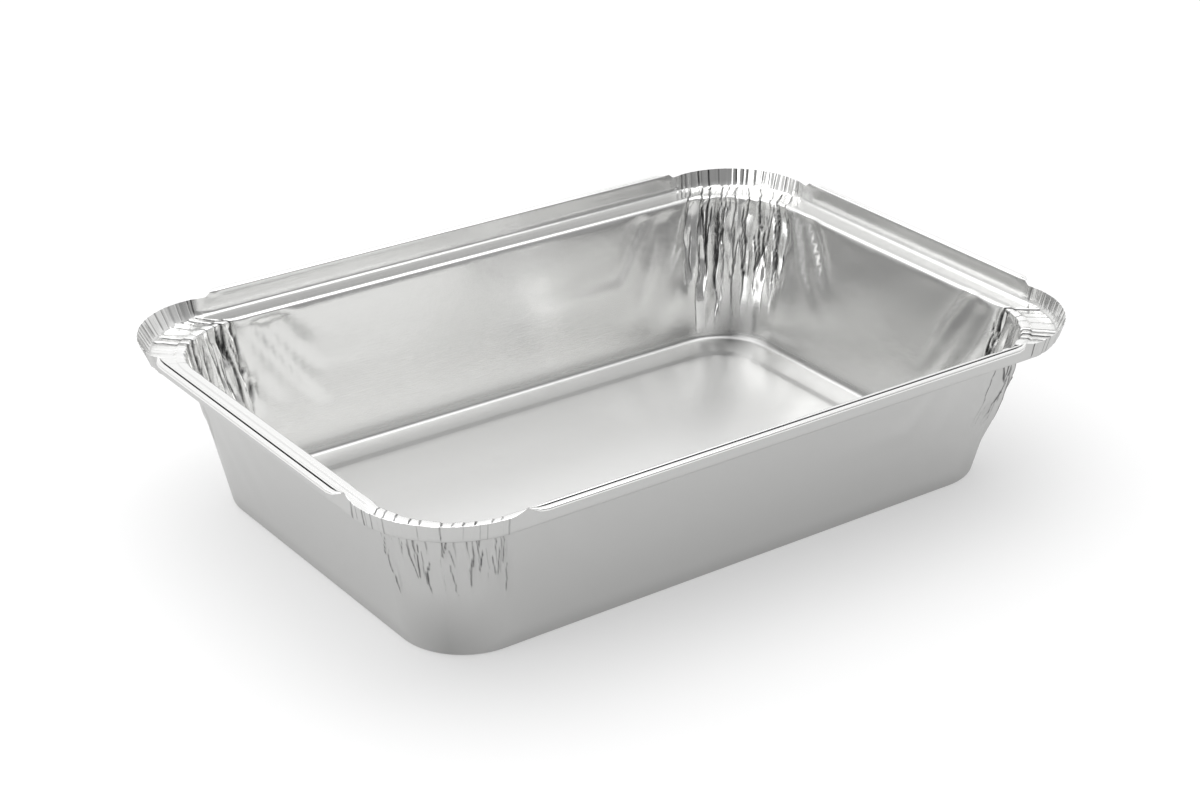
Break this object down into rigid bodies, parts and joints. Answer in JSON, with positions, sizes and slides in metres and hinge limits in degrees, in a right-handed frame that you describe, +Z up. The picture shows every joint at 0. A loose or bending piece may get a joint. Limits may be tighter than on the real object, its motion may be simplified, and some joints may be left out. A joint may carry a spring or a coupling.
{
  "type": "aluminium foil tray",
  "caption": "Oblong pressed foil food tray with sloping walls, a lid shelf, a flange with rolled hems and pleated corners.",
  "frame": {"origin": "middle of the footprint, on the surface that the tray stands on", "axes": "+X along the tray's length, +Y across its width, +Z up out of its mouth"},
  "size_m": [0.214, 0.151, 0.0463],
  "materials": {
    "foil": "satin rolled foil, semi-gloss"
  },
  "bodies": {
    "root": {"foil_tray": "foil"}
  },
  "joints": []
}
